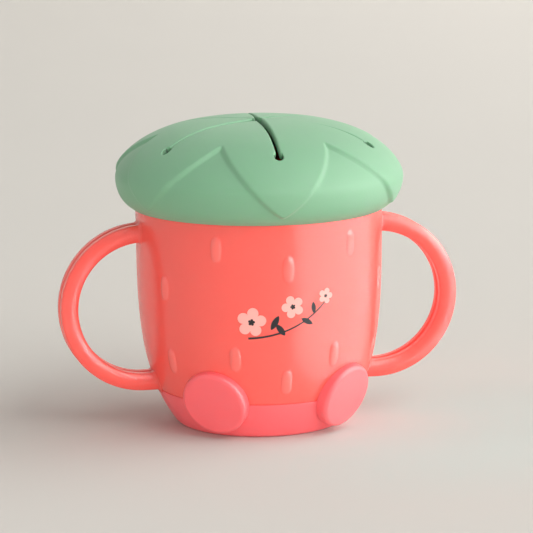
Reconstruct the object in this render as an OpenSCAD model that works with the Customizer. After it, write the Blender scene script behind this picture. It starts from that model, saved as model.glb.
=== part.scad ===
// Toddler snack container: a two-handled cup on a soft boot with two foot pads,
// closed by a domed silicone lid of six leaves whose middle is cut into six flaps.
// Millimetres. +Z up, the front faces -Y and the handles lie along X.
// The origin is the middle of the face that the container stands on.

/* [Cup] */
// Height of the cup's rim above the table
cup_h = 90; // [80:0.5:110]
// Outer radius of the cup just below the lid
cup_top_r = 42.7; // [38:0.1:48]
// How far the wall's curve has drawn in where it would meet the table
cup_taper = 14.1; // [12:0.1:16]
// How quickly the wall straightens above the base
cup_bulge = 4.9; // [4.4:0.1:5.4]
// Wall thickness
cup_wall = 2; // [1.6:0.1:2.4]
// Thickness of the cup's floor
floor_t = 2.4; // [1.8:0.1:3.2]

/* [Seeds] */
// Length of one raised seed
seed_l = 8.6; // [7:0.2:10]
// Width of one raised seed
seed_w = 3.8; // [3:0.1:4.6]
// Height of a seed above the wall
seed_h = 0.7; // [0.4:0.1:1]

/* [Handles] */
// How far inside the cup's radius the centre of a handle's arc lies
handle_in = 1.2; // [0:0.1:3]
// Height of the centre of a handle's arc
handle_z = 42.2; // [38:0.1:48]
// Outer radius of a handle's arc
handle_r = 29.1; // [25:0.1:32]
// Thickness of the handle along its radius
handle_t = 6.3; // [5.6:0.1:7]
// Width of the handle from front to back
handle_w = 8.4; // [7.4:0.1:10]
// Width of the groove between its front and back lobes
groove_w = 1.3; // [1:0.1:2]
// Depth of that groove
groove_d = 0.7; // [0.4:0.1:1]

/* [Boot and feet] */
// Height of the boot's top edge
boot_h = 12.9; // [10:0.1:15]
// Thickness of the boot's wall
boot_t = 1.4; // [1.1:0.1:1.8]
// Thickness of the boot under the cup
boot_floor_t = 1.2; // [1:0.1:2]
// How far the boot stands out from the cup's wall
boot_proud = 0.4; // [0.2:0.1:0.6]
// Angle of each foot pad from the front
foot_angle = 37.7; // [32:0.1:45]
// Radius of a foot pad
foot_r = 11.6; // [9:0.1:12]
// How far the middle of a pad's face stands out from the cup's wall
foot_out = 2.9; // [2.2:0.1:4]
// Height of the middle of the pad's face
foot_z = 12.8; // [12:0.1:15]
// How far the pad's face looks down
foot_tilt = 19; // [14:1:22]
// Radius of the pad's rounded edge
foot_edge = 1.8; // [1:0.1:2.6]

/* [Lid] */
// How far the lid's plain skin stands out beyond the cup
lid_overhang = 6.85; // [6.2:0.05:8.4]
// Height of the plain skin's middle above the cup's rim
lid_rise = 14.7; // [13:0.1:17]
// How far below the cup's rim the lid is widest
lid_belt_drop = 2.8; // [2.4:0.1:3.4]
// How far the skin curls down below its widest level
lid_drop = 12.2; // [11:0.1:12.6]
// Thickness of the silicone between the leaves
lid_t = 1.8; // [1.6:0.1:2]
// Gap between the lid and the cup's wall
lid_gap = 0.35; // [0.3:0.05:0.5]
// How far the lid is turned on the cup
lid_turn = -3.5; // [-10:0.5:10]

/* [Leaves and flaps] */
// Height of a leaf's face above the plain skin
leaf_h = 1.1; // [0.6:0.1:1.2]
// How far outside a flap's bending line two leaves meet
notch_out = 0.8; // [0.8:0.1:3]
// How far below the lid's widest level a leaf's tip reaches
leaf_tip_drop = 8; // [5:0.1:8.6]
// How full a leaf's sides are: 1 is straight, less is fuller
leaf_round = 0.79; // [0.7:0.01:0.95]
// How far inside the cup's mouth the slits end
slit_in = 1.2; // [1:0.1:3]
// Width of a slit
slit_w = 1.4; // [1.4:0.1:1.8]
// Diameter of the round hole that ends a slit
hole_d = 3.3; // [2.6:0.1:3.6]
// Depth of the line about which each flap bends below the flap's top
hinge_depth = 1; // [0.8:0.1:1.4]
// How far a flap is pushed down into the cup by a hand
flap_down = 60; // [50:1:62]
// How far a flap is pulled up as the hand comes out
flap_up = 30; // [20:1:32]

/* [Hidden] */

$fn = 72;
coral = "#f8756b";
coral_soft = "#f96b72";
leaf_green = "#9fd0ab";
big = 200;

wall_steps = 24;         // levels of the cup's wall curve
past = 0.01;             // how far a cut runs past the face that it opens
floor_corner = 12;       // radius inside the cup where wall and floor meet
boot_corner = 2.6;       // radius of the boot's lower edge
edge_round = 0.5;        // small bevel of the rim's outer edge
handle_corner = 1.1;     // rounding of the handle's outer edges
pad_depth = 9;           // how deep a foot pad reaches towards the cup's axis

leaves = 6;
half_leaf = 180 / leaves;
dome_round = 3.1;        // exponents of the dome's flattened oval
dome_fall = 1.4;
curl_round = 2.3;        // exponent of the curl below the widest level
dome_steps = 18;
curl_steps = 9;
leaf_steps = 7;          // points along one side of a leaf
skin_lap = 0.5;          // how deep a leaf is rooted in the skin
curl_inset = 4.4;        // how far inside the lip the curl's oval has its middle
star_depth = 4.5;        // how far below the leaf tips their outline is projected from
seat_land = 0.25;        // skin left between a slit's hole and the ring on the rim
grip_t = 2.2;            // thickness of the ring that holds the rim from outside
grip_h = 5;              // depth of that ring below the rim
swing_gap = 0.3;         // clearance between a moving flap and the lid
rest_lift = [1.2, 0.2, 0.3, 0.2, 0.3, -0.7]; // how many degrees each flap stands up at rest

// Places that follow from the sizes above.
handle_x = cup_top_r - handle_in;
lid_r = cup_top_r + lid_overhang;
lid_top = cup_h + lid_rise;
lid_belt = cup_h - lid_belt_drop;
lip_r = cup_top_r + lid_gap;
curl_r = lip_r - curl_inset;
slit_end_r = cup_top_r - cup_wall - slit_in;
seat_r = slit_end_r + hole_d / 2 + seat_land;
hinge_r = slit_end_r * cos(half_leaf);
hinge_z = dome_z(hinge_r, leaf_h) - hinge_depth;
notch_r = hinge_r + notch_out;
leaf_tip_z = lid_belt - leaf_tip_drop;
star_z = leaf_tip_z - star_depth;

// Angle from the front and height of each seed; the back repeats them.
seed_places = [[0, 60.5], [-33, 67.3], [33, 67.3], [-62, 52], [62, 52],
               [-25, 29.7], [25, 29.7], [-61, 26.5], [61, 26.5], [0, 21.2]];

// ---- profiles -------------------------------------------------------------

// Outside of the cup at height z: almost upright above, curving in near the table.
function cup_r(z) =
    cup_top_r - cup_taper * pow(max(0, 1 - z / cup_h), cup_bulge);

// How far a corner of radius r has cut in at distance d from its end.
function corner_cut(d, r) = d >= r ? 0 : r - sqrt(r * r - (r - d) * (r - d));

// Points of the cup's wall curve, moved out by grow, between two heights.
function wall_points(z0, z1, grow = 0, steps = wall_steps) =
    [for (i = [0 : steps]) let (z = z0 + (z1 - z0) * i / steps) [cup_r(z) + grow, z]];

// Points of the boot's outside, with its lower edge rounded. Its top edge slopes in to the wall.
function boot_points(steps = 10) =
    [for (i = [0 : steps]) let (z = (boot_h - boot_proud) * pow(i / steps, 1.6))
        [cup_r(z) + boot_proud - corner_cut(z, boot_corner), z]];

// Lid surface moved out by grow: the dome from the middle to the widest level.
function dome_point(a, grow) =
    [(lid_r + grow) * pow(sin(a), 2 / dome_round),
     lid_belt + (lid_top - lid_belt + grow) * pow(cos(a), 2 / dome_fall)];

// Lid surface moved out by grow: the curl below the widest level.
function curl_point(b, grow) =
    [curl_r + (lid_r + grow - curl_r) * pow(cos(b), 2 / curl_round),
     lid_belt - (lid_drop + grow) * pow(sin(b), 2 / curl_round)];

// Angle at which the curl comes in to radius r.
function curl_end(r, grow) = acos(pow((r - curl_r) / (lid_r + grow - curl_r), curl_round / 2));

// Height of the dome at radius r.
function dome_z(r, grow) =
    lid_belt + (lid_top - lid_belt + grow) * pow(1 - pow(r / (lid_r + grow), dome_round), 1 / dome_fall);

// Radius of the curl at height z.
function curl_r_at(z) =
    let (b = asin(pow((lid_belt - z) / lid_drop, curl_round / 2))) curl_point(b, 0)[0];

function reversed(list) = [for (i = [len(list) - 1 : -1 : 0]) list[i]];

function skin_points(grow, end_r) = concat(
    [for (i = [0 : dome_steps]) dome_point(90 * i / dome_steps, grow)],
    [for (i = [1 : curl_steps]) curl_point(curl_end(end_r, grow) * i / curl_steps, grow)]);

// ---- cup ------------------------------------------------------------------

// The cup and its boot filled in solid: what the handles and the feet are moulded to.
module cup_envelope() {
    rotate_extrude() polygon(concat([[0, 0]], boot_points(),
        wall_points(boot_h, cup_h - edge_round), [[0, cup_h - edge_round]]));
}

module boot_envelope() {
    rotate_extrude() polygon(concat([[0, 0]], boot_points(), [[cup_r(boot_h), boot_h], [0, boot_h]]));
}

module cup_hollow() {
    z0 = boot_floor_t + floor_t;
    rotate_extrude() polygon(concat([[0, z0]],
        [for (i = [0 : wall_steps]) let (z = z0 + (cup_h + 1 - z0) * pow(i / wall_steps, 1.5))
            [cup_r(z) - cup_wall - corner_cut(z - z0, floor_corner), z]],
        [[0, cup_h + 1]]));
}

// A seed is a slim spindle laid along the wall and sunk so that only its face stands out.
module seed() {
    spindle_r = (seed_w * seed_w / 4 + seed_h * seed_h) / (2 * seed_h);
    arc_r = (seed_l * seed_l / 4 + seed_h * seed_h) / (2 * seed_h);
    half_l = sqrt(arc_r * arc_r - pow(arc_r - spindle_r, 2));
    translate([0, spindle_r - seed_h, 0]) rotate_extrude() intersection() {
        translate([spindle_r - arc_r, 0]) circle(r = arc_r, $fn = 180);
        translate([0, -half_l]) square([spindle_r, 2 * half_l]);
    }
}

module seeds() {
    for (back = [0, 180], place = seed_places) {
        z = place[1];
        lean = atan(cup_r(z + 1) - cup_r(z));
        rotate([0, 0, place[0] + back]) translate([0, -cup_r(z), z]) rotate([lean, 0, 0]) seed();
    }
}

module cup() {
    color(coral) difference() {
        union() {
            rotate_extrude() polygon(concat([[0, boot_floor_t]],
                wall_points(boot_floor_t, boot_h, boot_proud - boot_t, 8),
                wall_points(boot_h, cup_h - edge_round),
                [[cup_r(cup_h) - edge_round, cup_h], [0, cup_h]]));
            seeds();
        }
        cup_hollow();
    }
}

// ---- handles --------------------------------------------------------------

// Section of a handle: two flat lobes with rounded edges, front and back, and a groove
// between them on the outer and on the inner side. X runs along the arc's radius and
// Y from back to front.
module handle_section() {
    half_t = handle_t / 2;
    half_w = handle_w / 2;
    c = handle_corner;
    difference() {
        union() {
            square([handle_t, handle_w - 2 * c], center = true);
            square([handle_t - 2 * c, handle_w], center = true);
            for (x = [-1, 1], y = [-1, 1]) translate([x * (half_t - c), y * (half_w - c)]) circle(r = c);
        }
        for (x = [-1, 1]) translate([x * half_t, 0]) square([2 * groove_d, groove_w], center = true);
    }
}

// A half ring standing in the XZ plane, carried on straight to the cup's wall at both ends.
module handle() {
    mid_r = handle_r - handle_t / 2;
    color(coral) difference() {
        translate([handle_x, 0, handle_z]) rotate([90, 0, 0]) {
            rotate([0, 0, -90]) rotate_extrude(angle = 180) translate([mid_r, 0]) handle_section();
            for (side = [-1, 1]) translate([0, side * mid_r, 0]) rotate([0, -90, 0])
                linear_extrude(height = handle_x / 2) rotate([0, 0, 90]) handle_section();
        }
        cup_envelope();
    }
}

module handle_right() { handle(); }

module handle_left() { mirror([1, 0, 0]) handle(); }

// ---- boot and feet --------------------------------------------------------

module base_boot() {
    color(coral_soft) difference() {
        boot_envelope();
        rotate_extrude() polygon(concat([[0, boot_floor_t]],
            wall_points(boot_floor_t, boot_h + past, boot_proud - boot_t, 8), [[0, boot_h + past]]));
    }
}

// A round pad with a soft edge, its back cut to the wall that it is moulded to.
module foot(side) {
    color(coral_soft) difference() {
        rotate([0, 0, side * foot_angle]) translate([0, -cup_r(foot_z) - foot_out, foot_z])
            rotate([90 + foot_tilt, 0, 0]) rotate_extrude() union() {
                translate([0, -pad_depth]) square([foot_r, pad_depth - foot_edge]);
                translate([0, -foot_edge]) square([foot_r - foot_edge, foot_edge]);
                translate([foot_r - foot_edge, -foot_edge]) intersection() {
                    circle(r = foot_edge);
                    square(foot_edge);
                }
            }
        cup_envelope();
    }
}

module foot_left() { foot(-1); }

module foot_right() { foot(1); }

// ---- lid ------------------------------------------------------------------

// Everything inside the six-leaved outline, as a body with its point low on the lid's axis.
// Its sides are rays through the leaves' edges, so it also cuts where the leaves curl under.
module star() {
    reach = 90;
    tip_rise = atan((leaf_tip_z - star_z) / curl_r_at(leaf_tip_z));
    notch_rise = atan((dome_z(notch_r, 0) - star_z) / notch_r);
    outline = [for (k = [0 : leaves - 1], j = [-leaf_steps : leaf_steps - 1])
        let (t = abs(j) / leaf_steps,
             turn = 2 * half_leaf * k + sign(j) * half_leaf * pow(t, leaf_round),
             rise = tip_rise + (notch_rise - tip_rise) * t)
        [reach * cos(rise) * sin(turn), -reach * cos(rise) * cos(turn), star_z + reach * sin(rise)]];
    n = len(outline);
    polyhedron(points = concat(outline, [[0, 0, star_z], [0, 0, star_z + reach]]),
        faces = [for (i = [0 : n - 1], end = [0, 1])
            end == 0 ? [i, (i + 1) % n, n] : [(i + 1) % n, i, n + 1]]);
}

module lid_skin() {
    rotate_extrude() polygon(concat(skin_points(0, lip_r), reversed(skin_points(-lid_t, lip_r))));
}

// The leaves' layer all round, before the star's outline cuts it.
module leaf_layer() {
    end_angle = 56;
    function layer_points(grow) = concat(
        [for (i = [0 : dome_steps]) dome_point(90 * i / dome_steps, grow)],
        [for (i = [1 : curl_steps]) curl_point(end_angle * i / curl_steps, grow)]);
    rotate_extrude() polygon(concat(layer_points(leaf_h), reversed(layer_points(-skin_lap))));
}

// The ring under the dome that sits on the cup's rim and holds it from outside.
module rim_seat() {
    out_r = lip_r + grip_t;
    rotate_extrude() polygon([[seat_r, cup_h], [lip_r, cup_h], [lip_r, cup_h - grip_h],
        [out_r, cup_h - grip_h], [out_r, dome_z(out_r, -lid_t) + skin_lap],
        [lip_r, dome_z(lip_r, -lid_t) + skin_lap], [seat_r, dome_z(seat_r, -lid_t) + skin_lap]]);
}

module slit_holes() {
    for (k = [0 : leaves - 1]) rotate([0, 0, 2 * half_leaf * k]) translate([0, -slit_end_r, lid_belt])
        cylinder(d = hole_d, h = lid_top);
}

module lid() {
    color(leaf_green) rotate([0, 0, lid_turn]) difference() {
        union() {
            lid_skin();
            rim_seat();
            intersection() {
                leaf_layer();
                star();
            }
        }
        translate([0, 0, lid_belt]) rotate([0, 0, -90])
            linear_extrude(height = lid_top) circle(r = slit_end_r, $fn = leaves);
        slit_holes();
    }
}

// ---- flaps ----------------------------------------------------------------

// Where a flap may be: a wedge between two slits, kept clear of the lid by undercutting its
// root so that it swings down by flap_down and up by flap_up. X points outwards.
module flap_room() {
    edge_inset = slit_w / 2 / cos(half_leaf);
    root_half = hinge_r * tan(half_leaf) - edge_inset;
    root_x = hinge_r - swing_gap / cos(flap_down);
    tall = 30;
    intersection() {
        linear_extrude(height = big)
            polygon([[slit_w / 2 / sin(half_leaf), 0], [hinge_r, -root_half], [hinge_r, root_half]]);
        rotate([90, 0, 0]) linear_extrude(height = big, center = true)
            polygon([[root_x, hinge_z],
                [root_x - tall * tan(flap_up), hinge_z + tall], [-1, hinge_z + tall],
                [-1, hinge_z - tall], [root_x - tall * tan(flap_down), hinge_z - tall]]);
    }
}

module flap(number) {
    a_end = asin(pow(slit_end_r / (lid_r + leaf_h), dome_round / 2));
    steps = 14;
    color(leaf_green) rotate([0, 0, lid_turn + half_leaf * (2 * number - 1) - 90])
        translate([hinge_r, 0, hinge_z]) rotate([0, rest_lift[number - 1], 0])
        translate([-hinge_r, 0, -hinge_z]) difference() {
            intersection() {
                rotate_extrude() polygon(concat(
                    [for (i = [0 : steps]) dome_point(a_end * i / steps, leaf_h)],
                    [for (i = [steps : -1 : 0]) dome_point(a_end * i / steps, -lid_t)]));
                flap_room();
            }
            for (side = [-1, 1]) rotate([0, 0, side * half_leaf]) translate([slit_end_r, 0, lid_belt])
                cylinder(d = hole_d, h = lid_top);
        }
}

module flap_1() { flap(1); }
module flap_2() { flap(2); }
module flap_3() { flap(3); }
module flap_4() { flap(4); }
module flap_5() { flap(5); }
module flap_6() { flap(6); }

cup();
handle_left();
handle_right();
base_boot();
foot_left();
foot_right();
lid();
flap_1();
flap_2();
flap_3();
flap_4();
flap_5();
flap_6();
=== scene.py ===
import bmesh
import bpy
import numpy as np
from mathutils import Euler, Matrix, Vector


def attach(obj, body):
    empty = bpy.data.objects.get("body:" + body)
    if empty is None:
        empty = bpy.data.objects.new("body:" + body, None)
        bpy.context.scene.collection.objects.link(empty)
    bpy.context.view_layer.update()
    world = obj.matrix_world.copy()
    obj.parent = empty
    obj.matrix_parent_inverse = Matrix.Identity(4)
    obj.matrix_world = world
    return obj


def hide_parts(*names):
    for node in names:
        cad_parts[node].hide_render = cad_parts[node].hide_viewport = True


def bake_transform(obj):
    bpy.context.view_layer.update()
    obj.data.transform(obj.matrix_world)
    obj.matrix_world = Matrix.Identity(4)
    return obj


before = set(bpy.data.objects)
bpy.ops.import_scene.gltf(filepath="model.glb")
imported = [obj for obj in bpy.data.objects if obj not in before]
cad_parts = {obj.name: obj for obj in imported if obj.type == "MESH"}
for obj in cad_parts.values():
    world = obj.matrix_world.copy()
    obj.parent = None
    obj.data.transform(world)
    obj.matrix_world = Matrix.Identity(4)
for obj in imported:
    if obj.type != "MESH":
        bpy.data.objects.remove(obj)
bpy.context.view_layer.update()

# ---- Cup --------------------------------------------------------------------
# The cup is one moulding in lightly translucent polypropylene: a bowl that stands almost
# upright and curves in near the table, with raised grains on its wall and a plain rim.

MM = 0.001

CUP_H = 90.0
CUP_TOP_R = 42.7
CUP_BASE_R = 28.6
CUP_BULGE = 4.9
CUP_WALL = 2.0
CUP_UNDERSIDE = 1.2
CUP_FLOOR = 3.6
FLOOR_CORNER = 12.0
RIM_ROUND = 0.6
BOOT_H = 12.9
BOOT_T = 1.4
BOOT_PROUD = 0.4
SEED_L = 8.6
SEED_W = 3.8
SEED_H = 0.62
SEED_SLANT = 0.3
# The share of a grain's height above which its painted highlight is full.
SEED_HIGHLIGHT_SHARE = 0.4
SEAM_W = 0.5
SEAM_DEPTH = 0.22
SEEDS = np.array([(0, 60.5), (-33, 67.3), (33, 67.3), (-62, 52), (62, 52),
                  (-25, 29.7), (25, 29.7), (-61, 26.5), (61, 26.5), (0, 21.2)])


def cup_r(z):
    """Outside radius of the cup at height z: the top radius, less a part that falls away with
    the distance below the rim raised to the cup's bulge."""
    return CUP_TOP_R - (CUP_TOP_R - CUP_BASE_R) * np.clip(1 - z / CUP_H, 0, 1) ** CUP_BULGE


def corner_cut(d, r):
    """How far a round corner of radius r has drawn in at distance d from its end."""
    inside = np.clip(r - d, 0, r)
    return r - np.sqrt(r * r - inside * inside)


def seed_rise(angle, z):
    """Height of the raised grains at an angle from the front, in radians, and a height z.
    Each grain is a long oval with blunt ends. Its height is one, less the distances across
    and along it, each raised to a power, and what is left is raised to three fifths. It
    grows a little towards the upper end."""
    rise = np.zeros(np.broadcast(angle, z).shape)
    for turn, height in np.concatenate([SEEDS, SEEDS + (180, 0)]):
        off = (angle - np.radians(turn) + np.pi) % (2 * np.pi) - np.pi
        across = np.abs(off * cup_r(z)) / (SEED_W / 2)
        along = np.abs(z - height) / (SEED_L / 2)
        dome = np.clip(1 - across ** 2.2 - along ** 3.4, 0, None) ** 0.6
        rise = rise + SEED_H * dome * (1 + SEED_SLANT * (z - height) / (SEED_L / 2))
    return rise


def column_angles(fine=0.36, coarse=1.2, reach=3.3):
    """Angles of the cup's columns in radians, close together across the grains and wide
    between them: even steps of a count that grows faster over the grains. fine and coarse
    are the two steps, and reach is the grains' half width, in degrees."""
    turn = np.linspace(0, 360, 7201)
    near = np.zeros(turn.shape, bool)
    for seed in np.append(SEEDS[:, 0], SEEDS[:, 0] + 180):
        near |= np.abs((turn - seed + 180) % 360 - 180) < reach
    count = np.append(0, np.cumsum(np.where(near[1:], 1 / fine, 1 / coarse)))
    return np.radians(np.interp(np.linspace(0, count[-1], 495)[:-1], count, turn))[:, None]


def grid_mesh(name, points, close_rows=True, close_columns=False, same=0.002, sharp=42):
    """A piece over a grid of points in millimetres. Neighbours are joined in quads, and in a
    closed direction the last line joins the first. Points nearer than the distance same, as
    at a pole, are merged, every face is turned outwards, and the faces are shaded smooth up
    to the angle sharp in degrees."""
    n, m = points.shape[:2]
    i = np.arange(n if close_rows else n - 1)[:, None]
    j = np.arange(m if close_columns else m - 1)[None, :]
    ni, nj = (i + 1) % n, (j + 1) % m
    quads = np.stack([i * m + j, ni * m + j, ni * m + nj, i * m + nj], -1).reshape(-1, 4)
    mesh = bpy.data.meshes.new(name)
    mesh.from_pydata((points.reshape(-1, 3) * MM).tolist(), [], quads.tolist())
    form = bmesh.new()
    form.from_mesh(mesh)
    bmesh.ops.remove_doubles(form, verts=form.verts, dist=same * MM)
    bmesh.ops.recalc_face_normals(form, faces=form.faces)
    form.to_mesh(mesh)
    form.free()
    mesh.shade_smooth()
    mesh.set_sharp_from_angle(angle=np.radians(sharp))
    piece = bpy.data.objects.new(name, mesh)
    bpy.context.scene.collection.objects.link(piece)
    return piece


def turned(profile, angle, rise=0.0):
    """Points of a profile of (radius, height) carried round the axis to each angle, from the
    front towards the right. rise adds to the radius."""
    r = np.broadcast_to(profile[None, :, 0], (len(angle), len(profile))) + rise
    z = np.broadcast_to(profile[None, :, 1], r.shape)
    return np.stack([r * np.sin(angle), -r * np.cos(angle), z], -1)


def cup_profile():
    """Outline of the cup's wall from the middle of its underside up the outside, over the
    rim and down the inside to the middle of the floor. The wall is drawn in a little where
    it meets the boot. Also says which points are outside."""
    base = np.linspace(CUP_UNDERSIDE, BOOT_H, 8)
    base_r = cup_r(base) + BOOT_PROUD - BOOT_T
    wall = BOOT_H + (CUP_H - RIM_ROUND - BOOT_H) * np.linspace(0, 1, 140) ** 1.15
    seam = SEAM_DEPTH * np.exp(-((wall - BOOT_H) / SEAM_W) ** 2)
    turn = np.radians(np.linspace(0, 180, 9))
    rim_r = CUP_TOP_R - CUP_WALL / 2 + CUP_WALL / 2 * np.cos(turn)
    rim_z = CUP_H - RIM_ROUND + RIM_ROUND * np.sin(turn)
    inner = CUP_FLOOR + (CUP_H - RIM_ROUND - CUP_FLOOR) * np.linspace(1, 0, 30) ** 1.6
    inner_r = cup_r(inner) - CUP_WALL - corner_cut(inner - CUP_FLOOR, FLOOR_CORNER)
    outline = [
        np.column_stack([np.linspace(0, base_r[0], 6), np.full(6, CUP_UNDERSIDE)]),
        np.column_stack([base_r, base]),
        np.column_stack([cup_r(wall) - seam, wall]),
        np.column_stack([rim_r, rim_z]),
        np.column_stack([inner_r, inner]),
        np.column_stack([np.linspace(inner_r[-1], 0, 6)[1:], np.full(5, CUP_FLOOR)]),
    ]
    outside = np.concatenate([np.full(len(part), k == 2) for k, part in enumerate(outline)])
    return np.concatenate(outline), outside


def mark(piece, name, values):
    """Keeps one value for each point of a piece, for its material to read."""
    field = piece.data.attributes.new(name, "FLOAT", "POINT")
    field.data.foreach_set("value", values.astype(np.float32))


def places(piece):
    """Points of a piece in millimetres, as an array."""
    flat = np.empty(len(piece.data.vertices) * 3)
    piece.data.vertices.foreach_get("co", flat)
    return flat.reshape(-1, 3) / MM


profile, outside = cup_profile()
angles = column_angles()
rise = seed_rise(angles, profile[None, :, 1]) * outside
cup = grid_mesh("cup_wall", turned(profile, angles, rise))
at = places(cup)
wall_side = np.hypot(at[:, 0], at[:, 1]) > cup_r(at[:, 2]) - CUP_WALL / 2
rise = seed_rise(np.arctan2(at[:, 0], -at[:, 1]), at[:, 2]) * wall_side * (at[:, 2] > BOOT_H)
# The share of each grain's height is kept for the material, where it sets a painted highlight that
# makes the grains paler.
mark(cup, "grain", np.clip(rise / SEED_H / SEED_HIGHLIGHT_SHARE, 0, 1))
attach(cup, "cup")
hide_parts("cup")


def shader(name):
    """A new material with its own Principled shader; returns the material, its nodes' maker,
    its linker and that shader."""
    material = bpy.data.materials.new(name)
    material.use_nodes = True
    tree = material.node_tree
    return material, tree.nodes.new, tree.links.new, tree.nodes["Principled BSDF"]


def mottle(node, link, colour_a, colour_b, scale, detail=2.0):
    """A slow cloudy drift between two near colours, read from the object's own coordinates."""
    place = node("ShaderNodeTexCoord")
    cloud = node("ShaderNodeTexNoise")
    cloud.inputs["Scale"].default_value = scale
    cloud.inputs["Detail"].default_value = detail
    link(place.outputs["Object"], cloud.inputs["Vector"])
    blend = node("ShaderNodeMix")
    blend.data_type = "RGBA"
    blend.inputs["A"].default_value = (*colour_a, 1)
    blend.inputs["B"].default_value = (*colour_b, 1)
    link(cloud.outputs["Fac"], blend.inputs["Factor"])
    return blend.outputs["Result"]


def grain_bump(node, link, scale, height, strength):
    """The fine even grain of a moulded surface, as a normal."""
    place = node("ShaderNodeTexCoord")
    grain = node("ShaderNodeTexNoise")
    grain.inputs["Scale"].default_value = scale
    grain.inputs["Detail"].default_value = 4.0
    link(place.outputs["Object"], grain.inputs["Vector"])
    bump = node("ShaderNodeBump")
    bump.inputs["Distance"].default_value = height
    bump.inputs["Strength"].default_value = strength
    link(grain.outputs["Fac"], bump.inputs["Height"])
    return bump.outputs["Normal"]


def coral_plastic(name, with_grains):
    """Lightly translucent satin polypropylene. Where the wall carries grains, they are painted
    paler, a painted highlight for the light that the raised grains catch."""
    material, node, link, skin = shader(name)
    body = mottle(node, link, (0.97, 0.108, 0.084), (0.99, 0.118, 0.093), 26)
    if with_grains:
        # Painted highlight: the grains are mixed towards a paler colour, for the light that the
        # raised grains catch.
        field = node("ShaderNodeAttribute")
        field.attribute_name = "grain"
        grain_painted_highlight = node("ShaderNodeMix")
        grain_painted_highlight.data_type = "RGBA"
        grain_painted_highlight.inputs["B"].default_value = (1.0, 0.162, 0.134, 1)
        link(field.outputs["Fac"], grain_painted_highlight.inputs["Factor"])
        link(body, grain_painted_highlight.inputs["A"])
        body = grain_painted_highlight.outputs["Result"]
    link(body, skin.inputs["Base Color"])
    link(grain_bump(node, link, 900, 0.00005, 0.15), skin.inputs["Normal"])
    skin.inputs["Roughness"].default_value = 0.23
    skin.inputs["Subsurface Weight"].default_value = 0.6
    skin.inputs["Subsurface Radius"].default_value = (1.0, 0.34, 0.30)
    skin.inputs["Subsurface Scale"].default_value = 0.0015
    skin.inputs["Specular IOR Level"].default_value = 1.0
    return material


cup.data.materials.append(coral_plastic("coral_polypropylene", True))


# ---- Handles ----------------------------------------------------------------
# Each handle is a ring for a small hand, moulded in one with the cup in the same plastic. A
# groove runs round the middle of its outer and its inner side, and it meets the cup's wall
# in soft corners.

HANDLE_X = 41.5
HANDLE_Z = 42.2
HANDLE_R = 29.0
HANDLE_T = 6.0
HANDLE_W = 9.4
HANDLE_CORNER = 0.6
HANDLE_CROWN = 0.8
GROOVE_W = 1.7
GROOVE_D = 0.7
ROOT_FILLET = 1.2
ROOT_DEPTH = 1.2
ROOT_TURN = 78
TOP_RUN = 5.0
LOW_RUN = 8.0
RUN_STEP = 0.25


def grooved_section():
    """Outline of the handle's section as (across, thick) points. Its front and back faces are
    full, like a parabola, its corners are round, and a steep narrow groove runs along the
    middle of its outer and its inner side. One half is drawn, and the other is its mirror
    image."""
    flat = HANDLE_W / 2 - HANDLE_CROWN - HANDLE_CORNER
    face = HANDLE_T / 2 - HANDLE_CORNER
    slope = np.arctan(2 * HANDLE_CROWN / face)
    along = np.linspace(0, flat, 24)[:-1]
    side = HANDLE_T / 2 - GROOVE_D * np.exp(-(along / (GROOVE_W / 2)) ** 4)
    turn = np.linspace(0, np.pi / 2 - slope, 8)
    bend = HANDLE_CORNER * np.column_stack([np.sin(turn), np.cos(turn)]) + (flat, face)
    y = np.linspace(bend[-1, 1], -bend[-1, 1], 15)[1:-1]
    crown = np.column_stack([bend[-1, 0] + HANDLE_CROWN * (1 - (y / bend[-1, 1]) ** 2), y])
    upper = np.concatenate([np.column_stack([along, side]), bend])
    half = np.concatenate([upper, crown, upper[::-1] * (1, -1)])
    return np.concatenate([half, half[-2:0:-1] * (-1, 1)])[::-1]


def handle_points(side):
    """Points of a handle: its section carried along a half ring and straight on into the
    cup's wall. Near the wall, where the loops stand closer together, the section swells by a
    quarter round to make the corner."""
    mid_r = HANDLE_R - HANDLE_T / 2
    section = grooved_section()
    tangent = np.roll(section, -1, 0) - np.roll(section, 1, 0)
    out = np.column_stack([tangent[:, 1], -tangent[:, 0]])
    out = out / np.hypot(out[:, 0], out[:, 1])[:, None]
    turn = np.radians(np.concatenate([np.linspace(90, ROOT_TURN, 40),
                                      np.linspace(ROOT_TURN, -ROOT_TURN, 110)[1:],
                                      np.linspace(-ROOT_TURN, -90, 20)[1:]]))
    top, low = np.linspace(TOP_RUN, RUN_STEP, 30), np.linspace(RUN_STEP, LOW_RUN, 50)
    run = np.concatenate([top, np.zeros(len(turn)), low])
    turn = np.concatenate([np.full(30, np.pi / 2), turn, np.full(50, -np.pi / 2)])[:, None]
    x = HANDLE_X + (mid_r + section[:, 1]) * np.cos(turn) - run[:, None]
    z = HANDLE_Z + (mid_r + section[:, 1]) * np.sin(turn)
    y = np.broadcast_to(section[:, 0], x.shape)
    off = np.hypot(x, y) - cup_r(z)
    swell = corner_cut(np.clip(off, 0, None), ROOT_FILLET)
    x = x + swell * out[:, 1] * np.cos(turn)
    z = z + swell * out[:, 1] * np.sin(turn)
    y = y + swell * out[:, 0]
    x = np.maximum(x, np.sqrt(np.clip((cup_r(z) - ROOT_DEPTH) ** 2 - y ** 2, 0, None)))
    return np.stack([side * x, y, z], -1)


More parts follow.
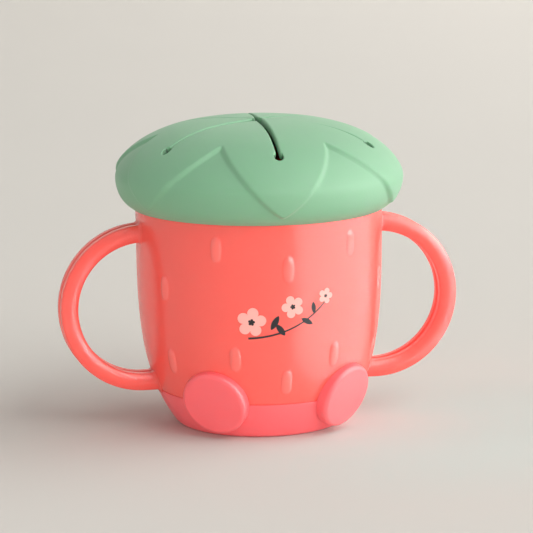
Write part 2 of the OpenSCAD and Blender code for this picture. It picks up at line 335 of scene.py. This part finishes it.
handle_plastic = coral_plastic("coral_handle_plastic", False)
skin = handle_plastic.node_tree.nodes["Principled BSDF"]
skin.inputs["Roughness"].default_value = 0.22
skin.inputs["Subsurface Radius"].default_value = (1.0, 0.5, 0.45)
skin.inputs["Subsurface Scale"].default_value = 0.002
for side, name in [(-1, "left"), (1, "right")]:
    loops = handle_points(side)
    ends = [np.broadcast_to(loop.mean(0), loop.shape)[None] for loop in (loops[0], loops[-1])]
    closed = np.concatenate([ends[0], loops, ends[1]])
    handle = grid_mesh("handle_ring_" + name, closed, False, True)
    handle.data.materials.append(handle_plastic)
    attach(handle, "cup")
    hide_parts("handle_" + name)


# ---- Boot -------------------------------------------------------------------
# A soft pinker elastomer is moulded over the cup's underside and round its base, where it
# ends in a low band with a thin soft edge. It stops the cup from sliding.

BOOT_CORNER = 1.3
BOOT_EDGE = 0.12
BOOT_STEP = 0.15
BOOT_GAP = 0.02


def boot_profile():
    """Outline of the boot from the middle of its underside round its lower corner, up the
    outside, over the thin top edge and back along the faces that it is moulded to."""
    z = BOOT_H * np.linspace(0, 1, 60) ** 1.6
    out = cup_r(z) + BOOT_STEP - corner_cut(z, BOOT_CORNER) - corner_cut(BOOT_H - z, BOOT_EDGE)
    back = np.linspace(BOOT_H, CUP_UNDERSIDE, 12)
    under = np.linspace(0, out[0], 8)[:-1]
    return np.concatenate([
        np.column_stack([under, np.zeros(7)]),
        np.column_stack([out, z]),
        np.column_stack([cup_r(back) + BOOT_PROUD - BOOT_T + BOOT_GAP, back]),
        np.column_stack([[0], [CUP_UNDERSIDE - BOOT_GAP]])])


boot_angles = np.linspace(0, 2 * np.pi, 240, endpoint=False)[:, None]
boot = grid_mesh("soft_boot", turned(boot_profile(), boot_angles))
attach(boot, "cup")
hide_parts("base_boot")

elastomer, node, link, skin = shader("pink_elastomer")
link(mottle(node, link, (1.0, 0.128, 0.142), (1.0, 0.140, 0.155), 40), skin.inputs["Base Color"])
link(grain_bump(node, link, 1400, 0.00008, 0.35), skin.inputs["Normal"])
skin.inputs["Roughness"].default_value = 0.38
skin.inputs["Specular IOR Level"].default_value = 0.8
skin.inputs["Subsurface Weight"].default_value = 0.35
skin.inputs["Subsurface Radius"].default_value = (1.0, 0.3, 0.3)
skin.inputs["Subsurface Scale"].default_value = 0.0015
boot.data.materials.append(elastomer)


# ---- Foot pads --------------------------------------------------------------
# Two round pads stand out at the front of the boot, moulded in one with it in the same
# elastomer. Each has a softly domed face, a wide round edge and looks a little down.

FOOT_ANGLE = 37.7
FOOT_R = 11.6
FOOT_OUT = 2.9
FOOT_Z = 12.8
FOOT_TILT = 19.0
FOOT_EDGE = 1.5
FOOT_DOME = 0.35
FOOT_DEPTH = 12.0
FOOT_ROOT = 0.5


def pad_points(side, spokes=160):
    """Points of a foot pad as rings round its own axis: the domed face out to the round edge,
    the side back to just under the wall, and the hidden back that lies along the wall. The
    depth at which the wall lies is found by halving a span of depths."""
    turn = np.radians(np.linspace(0, 90, 13))
    face = np.linspace(0, FOOT_R - FOOT_EDGE, 26)[:-1]
    front_r = np.concatenate([face, FOOT_R - FOOT_EDGE + FOOT_EDGE * np.sin(turn)])
    front_d = np.concatenate([np.zeros(25), FOOT_EDGE * (1 - np.cos(turn))])
    front_d = front_d + FOOT_DOME * (front_r / FOOT_R) ** 2
    back_r = np.linspace(FOOT_R, 0, 14)
    ring = np.concatenate([front_r, back_r])
    spoke = np.linspace(0, 2 * np.pi, spokes, endpoint=False)[:, None]
    u, v = ring * np.cos(spoke), ring * np.sin(spoke)
    tilt = np.radians(FOOT_TILT)

    def placed(depth):
        y = -cup_r(FOOT_Z) - FOOT_OUT + depth * np.cos(tilt) - v * np.sin(tilt)
        z = FOOT_Z + depth * np.sin(tilt) + v * np.cos(tilt)
        return y, z

    near, far = np.zeros(u.shape), np.full(u.shape, FOOT_DEPTH)
    for _ in range(26):
        middle = (near + far) / 2
        y, z = placed(middle)
        outside = np.hypot(u, y) > cup_r(z) - FOOT_ROOT
        near, far = np.where(outside, middle, near), np.where(outside, far, middle)
    in_front = np.arange(len(ring)) < len(front_r)
    y, z = placed(np.where(in_front, np.append(front_d, back_r * 0), near))
    turn = np.radians(side * FOOT_ANGLE)
    x, y = u * np.cos(turn) - y * np.sin(turn), u * np.sin(turn) + y * np.cos(turn)
    return np.stack([x, y, z], -1)


for side, name in [(-1, "left"), (1, "right")]:
    foot = grid_mesh("foot_pad_" + name, pad_points(side))
    foot.data.materials.append(elastomer)
    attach(foot, "cup")
    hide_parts("foot_" + name)


# ---- Wall print -------------------------------------------------------------
# A small plain sprig is pad-printed on the front of the wall in two inks: pale pink
# blossoms, and charcoal for their middles, the stem and its leaves.

INK = 0.06
HEART_INK = 0.096
STEM_INK = 0.048
INK_ROOT = 0.3
SPRIG_Z = 44.5
BLOSSOMS = [(-12.5, -1.6, 5.0, 10), (1.5, 3.4, 3.9, 40), (13.6, 6.2, 2.7, 0)]
LEAVES_AT = [(-4.6, -1.9, 5.4, 2.1, 62), (-2.6, -4.4, 5.0, 2.0, -52), (6.6, -1.9, 4.6, 1.8, -28),
             (9.0, 2.6, 4.0, 1.6, 96)]
STEM = [(-13.5, -7.2), (3.5, -6.5), (14.0, 5.0)]
STEM_W = 0.7
STEM_TAPER = 0.45
HEART_R = 0.24
PETAL_DIP = 0.56


def on_wall(u, v, lift):
    """Places on the wall: u millimetres round it from the front, v above the print's middle
    and lift out from the surface."""
    z = SPRIG_Z + v
    r = cup_r(z) + lift
    return np.stack(np.broadcast_arrays(r * np.sin(u / r), -r * np.cos(u / r), z), -1)


def ink_patch(name, centre, edge, lift, material):
    """A thin printed patch that fills an outline, closed below the wall's surface. edge holds
    the outline's points about the centre."""
    share = np.linspace(0, 1, 9)
    share = np.concatenate([share, share[::-1]])
    height = np.where(np.arange(18) < 9, lift, -INK_ROOT)
    u = centre[0] + edge[:, :1] * share
    v = centre[1] + edge[:, 1:] * share
    patch = grid_mesh(name, on_wall(u, v, height[None]))
    patch.data.materials.append(material)
    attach(patch, "cup")


def blossom_edge(radius, turn):
    """Outline of five round petals: the radius swells and dips five times round."""
    around = np.linspace(0, 2 * np.pi, 180, endpoint=False)
    swell = np.abs(np.cos(2.5 * (around - np.radians(turn)))) ** 0.6
    r = radius * (PETAL_DIP + (1 - PETAL_DIP) * swell)
    return np.column_stack([r * np.cos(around), r * np.sin(around)])


def leaf_edge(length, width, turn):
    """Outline of a leaf: two curved sides between two points, laid along a direction."""
    around = np.linspace(0, 2 * np.pi, 90, endpoint=False)
    x, y = length / 2 * np.cos(around), width / 2 * np.sin(around) * np.abs(np.sin(around)) ** 0.6
    c, s = np.cos(np.radians(turn)), np.sin(np.radians(turn))
    return np.column_stack([x * c - y * s, x * s + y * c])


def ink(name, colour):
    """Opaque printing ink, a little uneven where it was laid down."""
    material, node, link, skin = shader(name)
    deeper = tuple(0.93 * part for part in colour)
    link(mottle(node, link, colour, deeper, 260), skin.inputs["Base Color"])
    link(grain_bump(node, link, 2200, 0.00002, 0.3), skin.inputs["Normal"])
    skin.inputs["Roughness"].default_value = 0.42
    return material


pale_ink = ink("pale_pink_ink", (0.97, 0.42, 0.37))
dark_ink = ink("charcoal_ink", (0.016, 0.015, 0.018))
for number, (u, v, radius, turn) in enumerate(BLOSSOMS, 1):
    ink_patch(f"blossom_{number}", (u, v), blossom_edge(radius, turn), INK, pale_ink)
    heart = blossom_edge(radius * HEART_R, turn)
    ink_patch(f"blossom_heart_{number}", (u, v), heart, HEART_INK, dark_ink)
for number, (u, v, length, width, turn) in enumerate(LEAVES_AT, 1):
    ink_patch(f"sprig_leaf_{number}", (u, v), leaf_edge(length, width, turn), INK, dark_ink)

share = np.linspace(0, 1, 60)[:, None]
first, second, third = (np.array(point) for point in STEM)
line = first * (1 - share) ** 2 + 2 * second * share * (1 - share) + third * share ** 2
run = np.gradient(line, axis=0)
run = run / np.hypot(run[:, :1], run[:, 1:])
half = STEM_W / 2 * (1 - STEM_TAPER * share)
lanes = half * [[-1.0, -1.0, -0.5, 0.5, 1.0, 1.0]]
height = np.array([[-INK_ROOT, 0.0, STEM_INK, STEM_INK, 0.0, -INK_ROOT]])
strip = on_wall(line[:, :1] - run[:, 1:] * lanes, line[:, 1:] + run[:, :1] * lanes, height)
ends = [np.broadcast_to(strip[k].mean(0), strip[k].shape)[None] for k in (0, -1)]
stem = grid_mesh("sprig_stem", np.concatenate([ends[0], strip, ends[1]]), False, True)
stem.data.materials.append(dark_ink)
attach(stem, "cup")


# ---- Lid --------------------------------------------------------------------
# The lid is one moulding in matte green silicone, stretched over the cup's rim: a dome whose
# edge curls in below, with six raised leaves and a ring inside that sits on the rim.

LID_TURN = -3.5
LID_R = 49.55
LID_BELT = 87.2
LID_RISE = 17.5
LID_DROP = 12.2
LID_T = 1.8
DOME_ROUND = 3.1
DOME_FALL = 1.4
CURL_ROUND = 2.3
CURL_R = 38.65
LIP_R = 43.05
SKIN_SOFT = 1.4
SEAT_R = 41.4
SEAT_Z = 90.0
GRIP_R = 45.25
GRIP_Z = 85.0
GRIP_EDGE = 0.4
LEAVES = 6
LEAF_H = 1.1
LEAF_ROUND = 0.79
LEAF_SLOPE = 1.75
TIP_Z = 79.2
NOTCH_R = 35.0
STAR_Z = 74.7
SLIT_END_R = 39.5
HOLE_R = 1.65
HINGE_R = 34.208
HINGE_Z = 100.673
CUT_EDGE = 0.65


def skin_table():
    """The lid's plain skin as radius, height, outward direction and distance along it from
    the middle: a dome that is a flattened oval, and below its widest level a tighter oval
    that curls in until only the rounded lip is left to add."""
    t = np.radians(90 * np.linspace(0, 1, 1500) ** 1.5)
    r = np.concatenate([LID_R * np.sin(t) ** (2 / DOME_ROUND),
                        (CURL_R + (LID_R - CURL_R) * np.cos(t) ** (2 / CURL_ROUND))[1:-1]])
    z = np.concatenate([LID_BELT + LID_RISE * np.cos(t) ** (2 / DOME_FALL),
                        (LID_BELT - LID_DROP * np.sin(t) ** (2 / CURL_ROUND))[1:-1]])
    keep = (r > LIP_R + LID_T / 2) | (z > LID_BELT)
    s = np.append(0, np.cumsum(np.hypot(np.diff(r), np.diff(z))))[keep]
    r, z = r[keep], z[keep]
    even = np.linspace(0, s[-1], 3000)
    r, z = np.interp(even, s, r), np.interp(even, s, z)
    width = int(SKIN_SOFT / even[1])
    share = np.ones(2 * width + 1) / (2 * width + 1)
    for _ in range(2):
        r, z = (np.convolve(np.pad(line, width, "reflect", reflect_type="odd"), share, "valid")
                for line in (r, z))
    dr, dz = np.gradient(r, even), np.gradient(z, even)
    length = np.hypot(dr, dz)
    return r, z, -dz / length, dr / length, even


SKIN_R, SKIN_Z, SKIN_NR, SKIN_NZ, SKIN_S = skin_table()
BELT_S = SKIN_S[np.argmax(SKIN_R)]


def skin_at(s):
    """Radius, height and outward direction of the plain skin at a distance along it."""
    return [np.interp(s, SKIN_S, table) for table in (SKIN_R, SKIN_Z, SKIN_NR, SKIN_NZ)]


def s_of_radius(r, offset=0.0):
    """Distance along the skin at which the dome, moved out by an offset, has a radius."""
    dome = SKIN_S <= BELT_S
    return np.interp(r, (SKIN_R + offset * SKIN_NR)[dome], SKIN_S[dome])


def leaf_outline(count=260):
    """One side of a leaf from its tip to the notch between two leaves, as points on the plain
    skin. Seen from a point low on the axis, the leaf's half width grows from nothing at the
    tip, a little fuller than in a straight line, to half the space between two leaves."""
    rise = np.degrees(np.arctan2(SKIN_Z - STAR_Z, SKIN_R))
    notch = np.interp(NOTCH_R, SKIN_R[SKIN_S <= BELT_S], rise[SKIN_S <= BELT_S])
    tip = np.interp(-TIP_Z, -SKIN_Z, rise)
    t = np.linspace(0, 1, count) ** 1.4
    r, z, _, _ = skin_at(np.interp(-(tip + (notch - tip) * t), -rise, SKIN_S))
    turn = np.radians(180 / LEAVES * t ** LEAF_ROUND)
    return np.column_stack([r * np.sin(turn), r * np.cos(turn), z])


def leaf_height(s, angle):
    """Height of the leaves above the plain skin, at a distance along it and an angle from the
    middle of a leaf: a smooth step across the leaves' outline, level on both sides of it."""
    r, z, _, _ = skin_at(s)
    sector = 2 * np.pi / LEAVES
    folded = np.abs((angle + sector / 2) % sector - sector / 2)
    place = np.stack(np.broadcast_arrays(r * np.sin(folded), r * np.cos(folded), z), -1)
    outline = leaf_outline()
    away = np.full(place.shape[:-1], 1e9)
    for point in outline[::2]:
        away = np.minimum(away, ((place - point) ** 2).sum(-1))
    away = np.sqrt(away)
    rise = np.arctan2(place[..., 2] - STAR_Z, np.hypot(place[..., 0], place[..., 1]))
    edge_rise = np.arctan2(outline[:, 2] - STAR_Z, np.hypot(outline[:, 0], outline[:, 1]))
    edge_turn = np.arctan2(outline[:, 0], outline[:, 1])
    half = np.interp(rise, edge_rise, edge_turn, left=-1, right=9)
    step = np.clip(np.where(folded < half, away, -away) / LEAF_SLOPE + 0.5, 0, 1)
    return LEAF_H * step * step * (3 - 2 * step)


def shell_at(s, angle, outside, drop=0.0):
    """Radius and height of the silicone's outer face, with the leaves, or of its inner face.
    drop moves the point into the silicone, for a rounded edge."""
    r, z, nr, nz = skin_at(s)
    lift = leaf_height(s, angle) - drop if outside else drop - LID_T
    return r + nr * lift, z + nz * lift


def spread(angle, r, z):
    """Points at an angle from the front towards the right, on the turned lid."""
    angle = angle + np.radians(LID_TURN)
    return np.stack(np.broadcast_arrays(r * np.sin(angle), -r * np.cos(angle), z), -1)


def sector_angles(step=0.05):
    """Angles of the ring's columns: close together beside each slit's hole, wide between.
    step is the space in degrees from the one kind to the other."""
    wide = np.degrees(np.arcsin(HOLE_R / SLIT_END_R))
    near = wide * np.sin(np.linspace(-np.pi / 2, np.pi / 2, 30))
    between = np.linspace(wide + step, 360 / LEAVES - wide - step, 84)
    one = np.concatenate([near, between])
    return np.radians((one + 360 / LEAVES * np.arange(LEAVES)[:, None]).ravel())[:, None], wide


def inner_edge(angle, wide):
    """Radius at which the ring begins: the straight line from one slit's hole to the next,
    along which a flap bends, and the far side of the round hole itself."""
    sector = 2 * np.pi / LEAVES
    off = (angle + sector / 2) % sector - sector / 2
    line = HINGE_R / np.cos(sector / 2 - np.abs(off))
    inside = np.abs(off) <= np.radians(wide) + 1e-6
    sine = np.clip(SLIT_END_R * np.sin(off), -HOLE_R, HOLE_R)
    far_side = SLIT_END_R * np.cos(off) + np.sqrt(HOLE_R ** 2 - sine ** 2)
    return np.where(inside, far_side, line), inside


def ring_points():
    """The lid without its flaps, as closed loops: from the inner edge over the outer face to
    the lip, round it, back along the inner face, round the ring that holds the rim, and in
    along the inner face to the inner edge again."""
    angle, wide = sector_angles()
    edge, hole = inner_edge(angle, wide)
    lip_s = SKIN_S[-1]
    turn = np.linspace(0, np.pi / 2, 6)
    cut_in = CUT_EDGE * (1 - np.sin(turn)) * hole
    cut_along = CUT_EDGE * (1 - np.cos(turn))
    outer = s_of_radius(edge)
    start = outer + CUT_EDGE * hole
    face = start + (lip_s - start) * np.linspace(0, 1, 76)[1:]
    parts = [spread(angle, *shell_at(outer + cut_along * hole, angle, True, cut_in)),
             spread(angle, *shell_at(face, angle, True))]
    r, z, nr, nz = [table[-1] for table in (SKIN_R, SKIN_Z, SKIN_NR, SKIN_NZ)]
    lip = np.linspace(0, np.pi, 10)[1:-1]
    half = LID_T / 2
    parts.append(spread(angle, r - nr * half + half * (nr * np.cos(lip) + nz * np.sin(lip)),
                        z - nz * half + half * (nz * np.cos(lip) - nr * np.sin(lip))))
    grip_s, seat_s = s_of_radius(GRIP_R, -LID_T), s_of_radius(SEAT_R, -LID_T)
    parts.append(spread(angle, *shell_at(np.linspace(lip_s, grip_s, 24)[None], angle, False)))
    low = GRIP_Z + GRIP_EDGE
    grip = np.array([[GRIP_R, low], [GRIP_R - GRIP_EDGE, GRIP_Z], [LIP_R + GRIP_EDGE, GRIP_Z],
                     [LIP_R, low], [LIP_R, SEAT_Z], [SEAT_R, SEAT_Z]])
    parts.append(spread(angle, grip[None, :, 0], grip[None, :, 1]))
    inner = s_of_radius(edge, -LID_T)
    back = seat_s + (inner + CUT_EDGE * hole - seat_s) * np.linspace(0, 1, 9)
    parts.append(spread(angle, *shell_at(back, angle, False)))
    rim = inner + cut_along[-2::-1] * hole
    parts.append(spread(angle, *shell_at(rim, angle, False, cut_in[:, -2::-1])))
    parts = [np.broadcast_to(part, (len(angle),) + part.shape[1:]) for part in parts]
    return np.concatenate(parts, 1)


lid = grid_mesh("lid_ring", ring_points(), True, True)
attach(lid, "lid")
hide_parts("lid")

silicone, node, link, skin = shader("green_silicone")
link(mottle(node, link, (0.195, 0.40, 0.24), (0.21, 0.42, 0.255), 28), skin.inputs["Base Color"])
link(grain_bump(node, link, 1600, 0.00006, 0.3), skin.inputs["Normal"])
skin.inputs["Roughness"].default_value = 0.58
skin.inputs["Specular IOR Level"].default_value = 0.5
skin.inputs["Sheen Weight"].default_value = 0.08
skin.inputs["Subsurface Weight"].default_value = 0.5
skin.inputs["Subsurface Radius"].default_value = (0.6, 1.0, 0.65)
skin.inputs["Subsurface Scale"].default_value = 0.001
lid.data.materials.append(silicone)


# ---- Flaps ------------------------------------------------------------------
# Six three-cornered flaps of the same silicone are left between the slits in the lid's
# middle. Each bends along the line between two holes as a small hand goes in and out.

FRONT_SLIT = 1.4
SLIT = 0.6
TIP_ROUND = 0.6
BEND = 7.0
REST_LIFT = (1.2, 0.2, 0.3, 0.2, 0.3, -0.7)


def flap_points(lift, low_gap, high_gap):
    """One flap as closed loops round its section, from the tip in the lid's middle out to
    the line along which it bends. x runs outwards along the flap's middle and y across it.
    Its width grows with x as the slits spread, and near the root the holes narrow it. The
    gaps are the widths of the slits on its two sides, which all grow to the front one's width
    by the tip, and lift is how many degrees it stands up, gained smoothly beyond the bend."""
    half_angle = np.pi / LEAVES
    first = FRONT_SLIT / 2 / np.sin(half_angle) + TIP_ROUND / np.sin(half_angle)
    swing = np.linspace(0, np.pi / 2 - half_angle, 8)
    tip_end = first - TIP_ROUND * np.sin(half_angle)
    x = np.concatenate([first - TIP_ROUND * np.cos(swing),
                        np.linspace(tip_end, HINGE_R - HOLE_R, 60)[1:],
                        HINGE_R - HOLE_R * np.cos(np.linspace(0, np.pi / 2, 14))[1:]])[:, None]
    tip = np.sqrt(np.clip(TIP_ROUND ** 2 - (x - first) ** 2, 0, None))
    hole = np.sqrt(np.clip(HOLE_R ** 2 - (x - HINGE_R) ** 2, 0, None))
    hole = HINGE_R * np.tan(half_angle) - hole
    turn = np.linspace(0, np.pi / 2, 5)
    sides, sinks = [], []
    for gap in (high_gap, low_gap):
        cut = gap + (FRONT_SLIT - gap) * np.clip(2 - x / first, 0, 1)
        straight = x * np.tan(half_angle) - cut / 2 / np.cos(half_angle)
        width = np.where(x < tip_end, tip, np.minimum(straight, hole))
        edge = np.minimum(CUT_EDGE, 0.9 * width)
        sides.append(width - edge * (1 - np.cos(turn)))
        sinks.append(edge * (1 - np.sin(turn)))
    high, low = sides[0][:, -1:], -sides[1][:, -1:]
    middle = high + (low - high) * np.linspace(0, 1, 44)[1:-1]
    y = np.concatenate([sides[0], middle, -sides[1][:, ::-1]], 1)
    drop = np.concatenate([sinks[0], middle * 0, sinks[1][:, ::-1]], 1)
    r, angle = np.hypot(x, y), np.arctan2(y, x)
    faces = []
    for outside in (True, False):
        out_r, out_z = shell_at(s_of_radius(r), angle + half_angle, outside, drop)
        faces.append((out_r * np.cos(angle), out_r * np.sin(angle), out_z))
    x, y, z = [np.concatenate([top, under[:, ::-1]], 1) for top, under in zip(*faces)]
    rise = np.clip((HINGE_R - x) / BEND, 0, 1)
    rise = np.radians(lift) * rise * rise * (3 - 2 * rise)
    dx, dz = x - HINGE_R, z - HINGE_Z
    x = HINGE_R + dx * np.cos(rise) + dz * np.sin(rise)
    z = HINGE_Z + dz * np.cos(rise) - dx * np.sin(rise)
    return x, y, z


for number, lift in enumerate(REST_LIFT, 1):
    gaps = [FRONT_SLIT if slit == 0 else SLIT for slit in (number - 1, number % LEAVES)]
    x, y, z = flap_points(lift, *gaps)
    middle = np.radians(LID_TURN + 180 / LEAVES * (2 * number - 1))
    out = np.array([np.sin(middle), -np.cos(middle)])
    across = np.array([np.cos(middle), np.sin(middle)])
    loops = np.stack([x * out[0] + y * across[0], x * out[1] + y * across[1], z], -1)
    caps = [np.broadcast_to(loop.mean(0), loop.shape)[None] for loop in (loops[0], loops[-1])]
    flap = grid_mesh(f"leaf_flap_{number}", np.concatenate([caps[0], loops, caps[1]]), False, True)
    flap.data.materials.append(silicone)
    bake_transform(flap)
    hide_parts(f"flap_{number}")


# ---- Table and light --------------------------------------------------------
# The container stands on a warm pale sheet that rises behind it. A tall window at the right
# reaches below the sheet's level, so the sheet casts no shadow of its own, but it still
# catches the container's.

SHEET_FRONT = -4.0
SHEET_BACK = 1.6
SHEET_BEND = 0.9
SHEET_TOP = 4.0
SHEET_SIDE = 5.0
BLUSH_AT = (0.045, -0.03, 0)
BLUSH_REACH = (0.02, 0.11, 1.0, 0.0)
PALE_BACK = (-0.3, 1.3, 0.35, 1.0)
PALE_RIGHT = (-0.1, 0.5, 0.02, 0.15)


def sheet_points():
    """The sheet as a grid of metres: level to the back, then up along a quarter round."""
    turn = np.linspace(0, np.pi / 2, 24)
    back = SHEET_BACK + SHEET_BEND * np.sin(turn)
    y = np.concatenate([[SHEET_FRONT], back, [SHEET_BACK + SHEET_BEND]])
    z = np.concatenate([[0], SHEET_BEND * (1 - np.cos(turn)), [SHEET_TOP]])
    x = np.array([-SHEET_SIDE, SHEET_SIDE])[:, None]
    return np.stack(np.broadcast_arrays(x, y, z), -1)


def ramp(node, link, value, limits):
    """A value carried in a straight line from one range over to another. limits holds the
    ends of the first range, then the ends of the second."""
    scale = node("ShaderNodeMapRange")
    for socket, limit in zip(("From Min", "From Max", "To Min", "To Max"), limits):
        scale.inputs[socket].default_value = limit
    link(value, scale.inputs["Value"])
    return scale


def joined(node, link, operation, first, second):
    """Two values made into one by an operation, such as their product or the larger one."""
    both = node("ShaderNodeMath")
    both.operation = operation
    link(first, both.inputs[0])
    link(second, both.inputs[1])
    return both.outputs["Value"]


sheet = grid_mesh("table_sheet", sheet_points() / MM, close_rows=False)
sheet.visible_shadow = False

# The red cup throws a strong blush on the pale sheet beside it. The sheet is a little cooler
# there, which takes some of the blush back, and turns plain again further out.
paper, node, link, skin = shader("warm_paper")
place = node("ShaderNodeTexCoord")
reach = node("ShaderNodeVectorMath")
reach.operation = "DISTANCE"
reach.inputs[1].default_value = BLUSH_AT
link(place.outputs["Object"], reach.inputs[0])
near = ramp(node, link, reach.outputs["Value"], BLUSH_REACH)
near.interpolation_type = "SMOOTHSTEP"
cooler = node("ShaderNodeMix")
cooler.data_type = "RGBA"
cooler.blend_type = "MULTIPLY"
cooler.inputs["B"].default_value = (0.89, 1.05, 1.06, 1)
link(near.outputs["Result"], cooler.inputs["Factor"])
cloud = mottle(node, link, (0.574, 0.556, 0.517), (0.590, 0.572, 0.531), 3)
link(cloud, cooler.inputs["A"])
link(cooler.outputs["Result"], skin.inputs["Base Color"])
skin.inputs["Roughness"].default_value = 0.9
skin.inputs["Specular IOR Level"].default_value = 0.1

# The backdrop's paleness is a faint glow that is only seen, straight or in a reflection, and
# lights nothing. It grows towards the back, where the lamps' light falls off, and towards the
# right, the window's side: painted light that brightens the backdrop.
sight = node("ShaderNodeLightPath")
seen = sight.outputs["Is Camera Ray"]
for ray in ("Is Glossy Ray", "Is Transmission Ray"):
    seen = joined(node, link, "MAXIMUM", seen, sight.outputs[ray])
split = node("ShaderNodeSeparateXYZ")
link(place.outputs["Object"], split.inputs["Vector"])
for axis, limits in [("Y", PALE_BACK), ("X", PALE_RIGHT)]:
    pale = ramp(node, link, split.outputs[axis], limits).outputs["Result"]
    seen = joined(node, link, "MULTIPLY", seen, pale)
link(seen, skin.inputs["Emission Strength"])
skin.inputs["Emission Color"].default_value = (1.0, 0.91, 0.84, 1)
sheet.data.materials.append(paper)

DAYLIGHT = (1.0, 0.985, 0.97)
SKY = (0.88, 0.93, 1.0)
LAMP_AIM = Vector((0, 0, 0.05))


def area_lamp(name, azimuth, elevation, distance, width, height, power, colour):
    """An upright lamp that faces the container from an azimuth, measured from the front
    towards the right, and an elevation. Its reflection comes from the lamp alone and isn't
    looked for along mirrored rays, because those would end at the sheet."""
    data = bpy.data.lights.new(name, "AREA")
    data.energy = power
    data.shape = "RECTANGLE"
    data.size, data.size_y = width, height
    data.color = colour
    data.cycles.use_multiple_importance_sampling = False
    lamp = bpy.data.objects.new(name, data)
    az, el = np.radians(azimuth), np.radians(elevation)
    towards = Vector((np.sin(az) * np.cos(el), -np.cos(az) * np.cos(el), np.sin(el)))
    lamp.location = LAMP_AIM + distance * towards
    lamp.rotation_euler = (LAMP_AIM - lamp.location).to_track_quat("-Z", "Y").to_euler()
    bpy.context.scene.collection.objects.link(lamp)
    return lamp


# The window, its lower part, and two lamps in the same places that only add to their mirror
# images: the sky low in the window and its bright middle.
area_lamp("window", 62, 34, 3.4, 7.4, 4.2, 256, DAYLIGHT)
area_lamp("window_low", 68, -13, 3.4, 6.6, 3.2, 46, DAYLIGHT)
area_lamp("window_glint", 68, -13, 3.4, 6.6, 3.2, 60, SKY).visible_diffuse = False
area_lamp("window_core", 64, 18, 3.4, 2.2, 1.4, 38, DAYLIGHT).visible_diffuse = False
# The room in front gives light without a mirror image, and a narrow strip stands at the left.
area_lamp("room_fill", -30, -10, 3.8, 2.6, 2.6, 52, DAYLIGHT).visible_glossy = False
area_lamp("side_strip", -95, 35, 3.4, 0.3, 3.4, 8, DAYLIGHT)

world = bpy.data.worlds.new("room")
world.use_nodes = True
room = world.node_tree.nodes["Background"]
room.inputs["Color"].default_value = (0.97, 0.98, 1.0, 1)
room.inputs["Strength"].default_value = 0.38
bpy.context.scene.world = world

LENS = 208.48
CAMERA_BACK = 1.054
CAMERA_ASIDE = 0.0026
CAMERA_UP = 0.2539
CAMERA_TURN = -13.5
CAMERA_TIP = 79.26
CAMERA_ROLL = -0.4

camera_data = bpy.data.cameras.new("camera")
camera_data.lens = LENS
camera_data.sensor_width = 36
camera = bpy.data.objects.new("camera", camera_data)
turn = np.radians(CAMERA_TURN)
back, aside = np.array([np.sin(turn), -np.cos(turn), 0]), np.array([np.cos(turn), np.sin(turn), 0])
camera.location = CAMERA_BACK * back + CAMERA_ASIDE * aside + (0, 0, CAMERA_UP)
level = Euler((np.radians(CAMERA_TIP), 0, turn)).to_matrix()
roll = Matrix.Rotation(np.radians(CAMERA_ROLL), 3, "Z")
camera.rotation_euler = (level @ roll).to_euler()
bpy.context.scene.collection.objects.link(camera)
bpy.context.scene.camera = camera
bpy.context.scene.view_settings.view_transform = "Standard"
